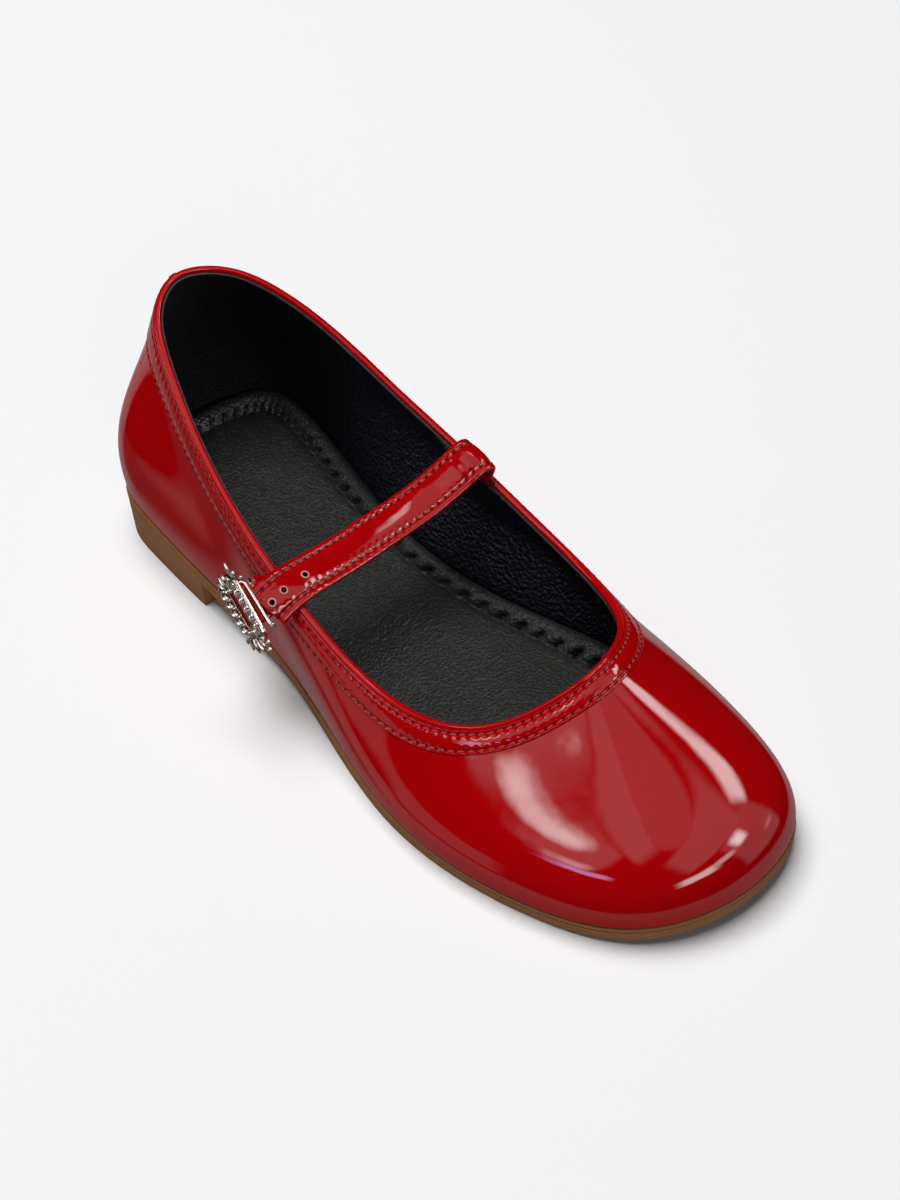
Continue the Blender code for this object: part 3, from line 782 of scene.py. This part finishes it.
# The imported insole's own rows, and the finer section drawn here
INSOLE_PATTERN = [
    # inset from the edge, height over the seat
    (0, 0), (0.01, 2.1), (1.4, 3.83), (5, 4.34), (8.2, 3.46), (10.3, 1.64), (12.3, 2.13),
]
INSOLE_SECTION = [
    (0, 0), (0, 1.4), (0.5, 2.9), (1.6, 4.4), (3.3, 5.2), (5, 5), (6.3, 4.2), (7.2, 3.1),
    (7.8, 2.2), (8.3, 1.75), (8.9, 2.1), (9.8, 2.4), (11.5, 2.45),
]
SMOOTH_FROM = 4.0  # past this inset the corners are smoothed
# The panel's last rings, which close on its spine: share of the way there, inset
PANEL_RINGS = [(0.3, 16.0), (0.65, 20.0), (0.97, 24.0)]
SPINE_END = 12.0  # how far short of the panel's ends the spine stops
# The heel cushion: where it begins and is full, how much it raises the pad, how much it narrows the roll
HEEL_CUSHION, HEEL_RAISE, HEEL_ROLL = (45.0, 92.0), 2.6, 0.85

# Round the quilting seam each stitch pulls a pucker into the roll, about 4 mm apart
PUCKERS = 100
PUCKER_LEAN = 0.12  # columns of pucker to each mm outwards
SEAM_INSET, SEAM_PULL, SEAM_PUFF = 7.3, 1.7, 0.35
ROLL_INSET, ROLL_REACH, ROLL_PULL = 5.4, 1.3, 0.3
FLATTER_AT_HEEL = ((62.0, 84.0), (1.0, 0.4))
SEAM_RING = 9
SEAM_STITCH = (3.0, 0.6)  # length and thickness


def insole_rings():
    """The insole's rings from its edge to its spine, and how far in each lies."""
    rows = skin_rows("insole", lambda centre: centre.z - 10 * abs(centre.x), 50, INSOLE_ROWS)
    at = np.arange(INSOLE_COLUMNS) * rows.shape[1] / INSOLE_COLUMNS
    rows = np.array([around(ring, at) for ring in rows])
    insets, heights = np.array(INSOLE_PATTERN).T
    rows[:, :, 2] -= heights[:, None]
    heel = np.clip((rows[0, :, 1] - HEEL_CUSHION[0]) / (HEEL_CUSHION[1] - HEEL_CUSHION[0]), 0, 1)[:, None]
    heel = heel**2 * (3 - 2 * heel)

    def at_inset(inset):
        i = min(np.searchsorted(insets, inset, side="right") - 1, len(insets) - 2)
        share = (inset - insets[i]) / (insets[i + 1] - insets[i])
        return rows[i] * (1 - share) + rows[i + 1] * share

    rings = []
    for inset, height in INSOLE_SECTION:
        ring = at_inset(inset) * (1 - heel) + at_inset(inset * HEEL_ROLL) * heel
        for _ in range(max(0, round(6 * (inset - SMOOTH_FROM)))):
            ring = (np.roll(ring, 1, 0) + 2 * ring + np.roll(ring, -1, 0)) / 4
        ring[:, 2] += height + heel[:, 0] * HEEL_RAISE * min(1.0, inset / 1.6)
        rings.append(ring)

    panel = rings[-1]
    order = panel[np.argsort(panel[:, 1])]
    y = np.clip(panel[:, 1], panel[:, 1].min() + SPINE_END, panel[:, 1].max() - SPINE_END)
    sides = [np.interp(y, order[part, 1], order[part, 0]) for part in (order[:, 0] < 2, order[:, 0] >= 2)]
    spine = np.column_stack([sum(sides) / 2, y, np.interp(y, order[:, 1], order[:, 2])])
    rings += [panel * (1 - share) + spine * share for share, _ in PANEL_RINGS]
    return rings, [inset for inset, _ in INSOLE_SECTION] + [inset for _, inset in PANEL_RINGS]


def pucker(pad):
    """Pulls the pad down at the quilting seam and lets it puff out between the stitches."""
    count, inset = np.zeros((2, len(pad.data.vertices)))
    for loop, laid in zip(pad.data.loops, pad.data.uv_layers["laid_out"].data):
        count[loop.vertex_index], inset[loop.vertex_index] = laid.uv
    rng = np.random.default_rng(4)
    uneven = rng.uniform(0.6, 1.2, PUCKERS)[np.floor(count).astype(int) % PUCKERS]
    pull = 0.5 - np.cos(2 * np.pi * (count + PUCKER_LEAN * (8.0 - inset))) * 0.5
    seam = (SEAM_PULL * pull**6 - SEAM_PUFF * (1 - pull)) * np.exp(-((inset - SEAM_INSET) ** 2))
    roll = ROLL_PULL * pull**3 * np.exp(-(((inset - ROLL_INSET) / ROLL_REACH) ** 2))
    points = np.array([tuple(vertex.co) for vertex in pad.data.vertices])
    facing = np.array([tuple(normal.vector) for normal in pad.data.vertex_normals])
    dip = uneven * (seam + roll) * np.interp(points[:, 1] / MM, *FLATTER_AT_HEEL)
    pad.data.vertices.foreach_set("co", (points - facing * dip[:, None] * MM).ravel())
    pad.data.update()


def make_insole():
    """The insole: a padded roll round a flat panel, pulled down and puckered by the quilting seam."""
    rings, insets = insole_rings()
    count = np.arange(INSOLE_COLUMNS + 1) * PUCKERS / INSOLE_COLUMNS
    pad = loft("insole_pad", rings, [[(u, v) for u in count] for v in insets])
    subdivide(pad)
    close_ends(pad)
    pucker(pad)
    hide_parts("insole")
    at = (np.arange(PUCKERS) + 0.5) * INSOLE_COLUMNS / PUCKERS
    seam = rings[SEAM_RING] + (0, 0, 0.1)
    places = around(seam, at)
    sew("insole_stitches", "insole", DARK_THREAD, places, around(seam, at + 0.05) - places, pad, *SEAM_STITCH)
    return dress(pad, "insole", INSOLE)


# --- Strap and tab ---

# The strap's middle line, from its root inside the medial wall to its free end. slope: how its width falls to
# the toe. turn: how its width turns to the medial side on the way to the toe.
STRAP_PATH = [
    # x, y, z, slope, turn in degrees
    (31.3, 16.2, 34, 16, 9),
    (31.2, 15.5, 38.6, 16, 6),
    (32, 14.4, 42.6, 16, 4),
    (32.4, 13.8, 44.6, 16, 3.5),
    (30.6, 13.8, 45.2, 15, 3),
    (24, 14.5, 42.7, 14, 1),
    (14.5, 15.5, 39.4, 13, 0),
    (2.5, 16, 38, 13, 0),
    (-9.5, 15.9, 37.8, 14, 0),
    (-19.5, 15.5, 38.6, 17, 0),
    (-27.5, 14.8, 39.7, 23, 0),
    (-31, 14.4, 39.8, 32, -3),
    (-33.7, 14.1, 39.3, 40, -8),
    (-36.2, 13.9, 38.3, 45, -12),
]
TAB_PATH = [
    (-31.7, 17.2, 38.2, 33, 0),
    (-33.5, 17.1, 38.8, 41, 0),
    (-35.5, 16.9, 39.2, 43, 0),
    (-37.1, 17, 38.9, 45, 0),
    (-38.2, 18.1, 37.6, 45, 0),
    (-38, 19.8, 35.8, 45, 0),
    (-36.3, 22.2, 33.4, 45, 0),
    (-33.6, 24.6, 31, 45, 0),
    (-31.5, 26.6, 28.8, 44, 0),
    (-30.8, 28.2, 27, 43, 0),
]
# Half of each section, from its turned edge to its padded middle
STRAP_SECTION = [
    # across, height
    (5.70, 0), (5.62, 0.45), (5.2, 0.78), (4.5, 0.85), (4.1, 0.82), (3.75, 0.55), (3.4, 0.85), (2.4, 1.08),
    (1, 1.2),
]
TAB_SECTION = [(5.1, 0.0), (5.05, 0.4), (4.7, 0.6), (3.5, 0.62), (1.5, 0.64)]
STRAP_UNDERSIDE, TAB_UNDERSIDE = 0.9, 0.6
ROUNDED_ENDS = (0.3, 0.8)  # how close the rings lie together at a strap's ends

FIRST_STITCH = 1.6
END_SEAM, END_STITCHES = 1.3, (-1.9, 0.0, 1.9)
HOLES_FROM_END = (2.1, 6.0, 13.0)
HOLE_RADIUS = 0.8
RIM_RADIUS, RIM_THICK, RIM_HEIGHT = 0.9, 0.22, 1.22


def spline(knots, values, at):
    """Values of a smooth curve through rows of values, at places along its knots."""
    slopes = np.gradient(values, knots, axis=0)
    i = np.clip(np.searchsorted(knots, at) - 1, 0, len(knots) - 2)
    step = (knots[i + 1] - knots[i])[:, None]
    t = (at - knots[i])[:, None] / step
    return between(values[i], values[i + 1], slopes[i] * step, slopes[i + 1] * step, t)


def strap_frames(path, samples):
    """Along a strap: how far each sample lies, its middle, and the ways across it and out of it."""
    path = np.array(path)
    knots = np.concatenate([[0], np.linalg.norm(np.diff(path[:, :3], axis=0), axis=1).cumsum()])
    near, inner = ROUNDED_ENDS
    middle_part = np.linspace(inner, knots[-1] - inner, samples)
    walked = np.concatenate([[0, near], middle_part, [knots[-1] - near, knots[-1]]])
    line = spline(knots, path, walked)
    middle, slope, turn = line[:, :3], np.radians(line[:, 3]), np.radians(line[:, 4])
    ahead = unit(np.gradient(middle, walked, axis=0))
    cross = np.column_stack([np.sin(turn), -np.cos(slope) * np.cos(turn), -np.sin(slope)])
    cross = unit(cross - ahead * (cross * ahead).sum(1, keepdims=True))
    return walked, middle, cross, np.cross(ahead, cross)


def strap_body(name, path, section, underside, samples):
    """A strap swept along its path, its ends rounded off, and its frames."""
    walked, middle, cross, out = frames = strap_frames(path, samples)
    half = np.array(section)
    edge = half[0, 0]
    top = np.concatenate([half, [(0.0, half[-1, 1])], half[::-1] * (-1, 1)])
    low = [(-0.97 * edge, -0.5 * underside), (-0.9 * edge, -underside), (-1.5, -underside)]
    outline = np.concatenate([top, low, [(-x, z) for x, z in reversed(low)]])
    across = np.append(outline[:, 0], edge) / STRAP_SEAMS + 0.5
    rings = middle[:, None] + outline[:, :1] * cross[:, None] + outline[:, 1:] * out[:, None]
    places = [[((s - FIRST_STITCH) / STRAP_PITCH + 0.5, x) for x in across] for s in walked]
    return loft(name, rings, places, ends="filled"), frames


def make_strap():
    """The instep strap: three holes at its free end, a seam down each edge and three stitches across."""
    strap, (walked, *ways) = strap_body("strap_leather", STRAP_PATH, STRAP_SECTION, STRAP_UNDERSIDE, 48)
    subdivide(strap)
    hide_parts("instep_strap")

    def frame_at(distance):
        return [spline(walked, values, np.atleast_1d(distance)) for values in ways]

    rims = []
    for distance in HOLES_FROM_END:
        middle, _, out = frame_at(walked[-1] - distance)
        turned = Vector(out[0]).to_track_quat("Z", "Y").to_matrix().to_4x4()
        place = Matrix.Translation(Vector(middle[0]) * MM) @ turned
        bpy.ops.mesh.primitive_cylinder_add(vertices=32, radius=HOLE_RADIUS * MM, depth=6 * MM)
        punch = bpy.context.object
        punch.data.transform(place)
        cut_away(strap, punch)
        rims.append(place @ Matrix.Translation((0, 0, RIM_HEIGHT * MM)))
    # Pale rings round the holes: the bare punched edge, with a painted highlight on it
    size = {"major_radius": RIM_RADIUS * MM, "minor_radius": RIM_THICK * MM}
    bpy.ops.mesh.primitive_torus_add(major_segments=32, minor_segments=8, **size)
    dress(copy_out(bpy.context.object, "strap_hole_rims", rims), "strap", EDGE)

    middle, cross, out = frame_at(walked[-1] - END_SEAM)
    places = middle + out + cross * np.array(END_STITCHES)[:, None]
    sew("strap_end_stitches", "strap", THREAD, places, np.repeat(cross, len(places), 0), strap)
    middle, cross, out = frame_at(np.arange(FIRST_STITCH, walked[-1] - 1.2, STRAP_PITCH))
    for number, side in enumerate((-STRAP_SEAMS / 2, STRAP_SEAMS / 2), 1):
        places = middle + cross * side + out * 0.7
        sew(f"strap_stitches_{number}", "strap", THREAD, places, np.gradient(places, axis=0), strap)
    return dress(strap, "strap", STRAP_PATENT)


def make_tab():
    """The short tab on the lateral wall that runs up through the buckle."""
    tab, _ = strap_body("buckle_tab", TAB_PATH, TAB_SECTION, TAB_UNDERSIDE, 24)
    subdivide(tab)
    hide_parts("buckle_anchor")
    return dress(tab, "anchor", PATENT)


# --- Sole ---

SOLE_COLUMNS = 320
# The unit sole's underside in side view, from the heel to the toe
HEEL_BACK, HEEL_LENGTH, BREAST_HEIGHT = 105.8, 48.0, 9.0
FLAT_FROM, FLAT_TO, TOE = 122.0, 168.0, 212.0
TOE_SPRING = 4.2
BELOW, BEYOND, ASIDE = 20.0, 6.0, 60.0  # how far the cutter reaches past the blank
# How far the edge is trimmed in to the upper
WAIST_TRIM, TOE_TRIM = 1.2, 0.6
# The edge, from the seat over its rounded top and the rand line
SOLE_EDGE = [
    # inset, drop from the seat
    (7, 0), (2.2, 0), (0.7, 0), (0.35, -0.05), (0.1, -0.2), (0, -0.45), (0, -1.15),
    (0.22, -1.3), (0.22, -1.45), (0.05, -1.6), (0.05, -3),
]
BOARD_INSET = 1.2


def sole_outline():
    """The sole's trimmed outline from its solid, and the way inwards at each point."""
    outline = skin_rows("outsole", lambda centre: centre.z - abs(centre.y) * 0.5, 25, 1)[0]
    outline = around(outline, np.arange(SOLE_COLUMNS) * len(outline) / SOLE_COLUMNS)
    ahead = np.roll(outline, -1, 0) - np.roll(outline, 1, 0)
    inward = unit(np.column_stack([-ahead[:, 1], ahead[:, 0], np.zeros(len(ahead))]))
    if (inward * (outline - outline.mean(0))).sum() > 0:
        inward = -inward
    toeward = np.clip(0.3 + inward @ (0.83, 1.45, 0.0), 0, 1) * np.clip((10.0 - outline[:, 1]) / 40.0, 0, 1)
    trim = WAIST_TRIM + (TOE_TRIM - WAIST_TRIM) * toeward
    return outline + inward * trim[:, None], inward


def sole_height(distance):
    """The underside's height past the heel's breast, at a distance from the heel."""
    if distance < FLAT_FROM:
        return BREAST_HEIGHT * ((FLAT_FROM - distance) / (FLAT_FROM - HEEL_LENGTH)) ** 1.5
    return TOE_SPRING * (max(0.0, distance - FLAT_TO) / (TOE - FLAT_TO)) ** 2


def make_outsole():
    """The moulded unit sole: a blank, trimmed below to its shank, heel and toe spring."""
    outline, inward = sole_outline()
    rings = [outline + inward * inset + (0, 0, drop) for inset, drop in SOLE_EDGE]
    blank_foot = rings[-1] * (1, 1, 0) - (0, 0, 5.0)
    sole = loft("outsole_unit", [*rings, blank_foot], ends="filled")
    line = [(-BELOW, -BELOW), (-BELOW, 0.0), (HEEL_LENGTH, 0.0)]
    line += [(distance, sole_height(distance)) for distance in np.linspace(HEEL_LENGTH, TOE + BEYOND, 90)]
    line += [(TOE + BEYOND, -BELOW)]
    sides = [[(x, HEEL_BACK - distance, z) for distance, z in line] for x in (-ASIDE, ASIDE)]
    ground = loft("ground", sides, ends="filled")
    cut_away(sole, ground)
    bevel_edges(sole, 0.35, 2, 55)
    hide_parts("outsole")
    dress(sole, "sole", RUBBER, TREAD, BOARD, sharp=35)
    for face in sole.data.polygons:
        centre = np.array(face.center) / MM
        # Faces that point down take the darker tread colour: painted shade on the underside
        if face.normal.z < -0.9:
            face.material_index = 1
        # Seat faces inside the rim take the black board, which is also painted shade for the gap round the
        # insole
        elif face.normal.z > 0.9 and np.linalg.norm((outline - centre)[:, :2], axis=1).min() > BOARD_INSET:
            face.material_index = 2
    return sole


# --- Buckle ---


def buckle_axes(along, down):
    """The buckle's own axes: x up its long sides to the heel, y down its short sides, z out of the shoe."""
    along = Vector(along).normalized()
    down = Vector(down)
    down = (down - along * down.dot(along)).normalized()
    return Matrix((along, down, along.cross(down))).transposed().to_4x4()


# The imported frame's place, and the smaller one's here
SOLID_MIDDLE, SOLID_AXES = Vector((-39.1, 19.8, 35.8)), buckle_axes((0.03, 0.72, 0.69), (0.17, 0.68, -0.71))
BUCKLE_MIDDLE, BUCKLE_AXES = Vector((-39.1, 19.0, 36.6)), buckle_axes((0.03, 0.72, 0.69), (0.03, 0.69, -0.72))
FRAME_SCALE = (0.80, 0.73, 0.6)
FRAME_TOP = 0.7
ON_BUCKLE = Matrix.Scale(MM, 4) @ Matrix.Translation(BUCKLE_MIDDLE) @ BUCKLE_AXES

# Each long side: oval stones in cups, and beads between them
STONES, STONE_PITCH, STONE_ROW, STONE_TURN = 5, 2.3, 5.1, 52
# Each short end: a fan of petals round two beads, drawn out at the toe end
PETALS, FAN_MIDDLE, FAN_LONG, FAN_WIDE, FAN_SPREAD, FAN_SHIFT = 6, 6.1, 2.4, 4.6, 84, 0.9
LEAF = [
    # x, y, z, turn, length, width, height
    (10.6, -5.3, 0.4, -6, 4, 1.6, 0.9),
    (9, -6.9, 0.5, -70, 3.4, 3.2, 1.1),
    (7.6, -9.6, 0, -95, 2, 1.4, 0.9),
]
CORNER_STONES = [(-9.2, -5.6), (-11.0, -3.9)]
WIRE_ROUTE, WIRE_RADIUS = [
    (6.4, -5, -0.4), (6.4, -5.4, -1.2), (5.8, -5.7, -1.6), (2.8, -5.9, -1.7), (-3, -6.3, -1.7),
    (-5.6, -6.6, -1.7), (-6.4, -7.3, -1.7), (-6.7, -8.4, -1.6), (-6.2, -9.3, -1.4), (-5.4, -9.6, -1.2),
], 0.45
CURL_ROUTE, CURL_RADIUS = [(6.3, -8.8, -1.6), (5.9, -10.0, -1.5), (5.2, -10.8, -1.2), (5.0, -11.1, -0.6)], 0.4


def set_out(name, kind, places, material, sharp=60):
    """One ornament, copied to (x, y, z, turn, length, width, height) places on the buckle."""
    if kind == "stone":
        bpy.ops.mesh.primitive_cone_add(vertices=8, radius1=0.5, radius2=0.28, depth=1.0, calc_uvs=False)
        bpy.ops.object.mode_set(mode="EDIT")
        bpy.ops.mesh.bevel(offset=0.08, segments=1)
        bpy.ops.object.mode_set(mode="OBJECT")
    else:
        bpy.ops.mesh.primitive_uv_sphere_add(segments=10, ring_count=6, radius=0.5, calc_uvs=False)
    unit = bpy.context.object
    if kind == "petal":
        # Wider and cupped towards its tip, and hollow along its middle
        for vertex in unit.data.vertices:
            vertex.co.y *= 0.72 + 0.55 * vertex.co.x
            vertex.co.z += 0.35 * abs(vertex.co.y) - 0.25 * vertex.co.x**2
    laid = []
    for *place, turn, length, width, height in places:
        shaped = Matrix.Rotation(radians(turn), 4, "Z") @ Matrix.Diagonal((length, width, height, 1))
        laid.append(ON_BUCKLE @ Matrix.Translation(place) @ shaped)
    return dress(copy_out(unit, name, laid), "buckle", material, sharp=sharp)


def rod(name, route, radius):
    """A round wire along a route in the buckle's axes."""
    route = np.array(route)
    ahead = unit(np.gradient(route, axis=0))
    side = unit(np.cross(ahead, (0.15, 0.1, 1.0)))
    rings = []
    for place, x, y in zip(route, side, np.cross(ahead, side)):
        turns = np.linspace(0, 2 * pi, 8, endpoint=False)
        ring = place + radius * (np.outer(np.cos(turns), x) + np.outer(np.sin(turns), y))
        rings.append([ON_BUCKLE @ Vector(point) / MM for point in ring])
    piece = loft(name, rings, ends="filled")
    subdivide(piece)
    return piece


def make_buckle():
    """A cast and plated frame, its long sides set with crystals, a fan of petals on each short end."""
    base = copy_solid("buckle_frame", "buckle_frame_cast")
    off_solid = (Matrix.Scale(MM, 4) @ Matrix.Translation(SOLID_MIDDLE) @ SOLID_AXES).inverted()
    base.data.transform(ON_BUCKLE @ Matrix.Diagonal((*FRAME_SCALE, 1)) @ off_solid)
    bevel_edges(base, 0.3, 3, 50)
    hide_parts("buckle_frame")
    dress(base, "buckle", SILVER)

    top = FRAME_TOP
    stones, cups, beads, petals = [], [], [], []
    for side in (-1, 1):
        for i in range(STONES):
            x, turn = STONE_PITCH * (i - (STONES - 1) / 2), STONE_TURN * side
            stones.append((x, side * STONE_ROW, top + 0.75, turn, 2.6, 1.3, 0.8))
            cups.append((x, side * STONE_ROW, top + 0.3, turn, 3.3, 1.8, 1.1))
            for y in (STONE_ROW + 1.0, STONE_ROW - 1.0):
                beads.append((x + STONE_PITCH / 2, side * y, top - 0.1, 0, 0.8, 0.8, 0.8))
    for end, length in ((-1, 4.2), (1, 3.3)):
        shift = FAN_SHIFT * (end < 0)
        for turn in np.linspace(-FAN_SPREAD, FAN_SPREAD, PETALS):
            x = end * (FAN_MIDDLE + FAN_LONG * cos(radians(turn))) - shift
            y = FAN_WIDE * sin(radians(turn)) + shift
            way = turn * 0.8 if end > 0 else 180 - turn * 0.8
            petals.append((x, y, top + 0.45, way, length, 1.55, 1.0))
        for y in (-1.6, 1.6):
            beads.append((end * 5.6, y, top + 0.4, 0, 1.2, 1.2, 1.2))
    for x, y in CORNER_STONES:
        stones.append((x, y, top + 0.2, 0, 1.3, 1.3, 0.8))
        cups.append((x, y, top - 0.1, 0, 1.7, 1.7, 1.0))
    set_out("buckle_crystals", "stone", stones, CRYSTAL, sharp=1)
    set_out("buckle_cups", "bead", cups, SILVER)
    set_out("buckle_beads", "bead", beads, SILVER)
    set_out("buckle_petals", "petal", petals + LEAF, SILVER)

    wire = rod("buckle_wire_bar", WIRE_ROUTE, WIRE_RADIUS)
    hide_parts("buckle_wire")
    dress(wire, "wire", SILVER)
    dress(rod("buckle_leaf_curl", CURL_ROUTE, CURL_RADIUS), "wire", SILVER)

    # Its own small lamp, so that the metal isn't lost among the dark panels
    lit = bpy.data.collections.new("lit_by_buckle_lamp")
    for piece in bpy.data.objects:
        if piece.name.startswith("buckle_") and piece.name != "buckle_tab" and piece.type == "MESH":
            lit.objects.link(piece)
    add_lamp(*BUCKLE_LAMP).light_linking.receiver_collection = lit


add_camera()
add_floor()
add_backdrop()
add_sky()
for lamp in LAMPS:
    add_lamp(*lamp).visible_glossy = False
make_upper()
make_collar_band()
make_binding()
make_lining()
make_insole()
make_strap()
make_tab()
make_outsole()
make_buckle()
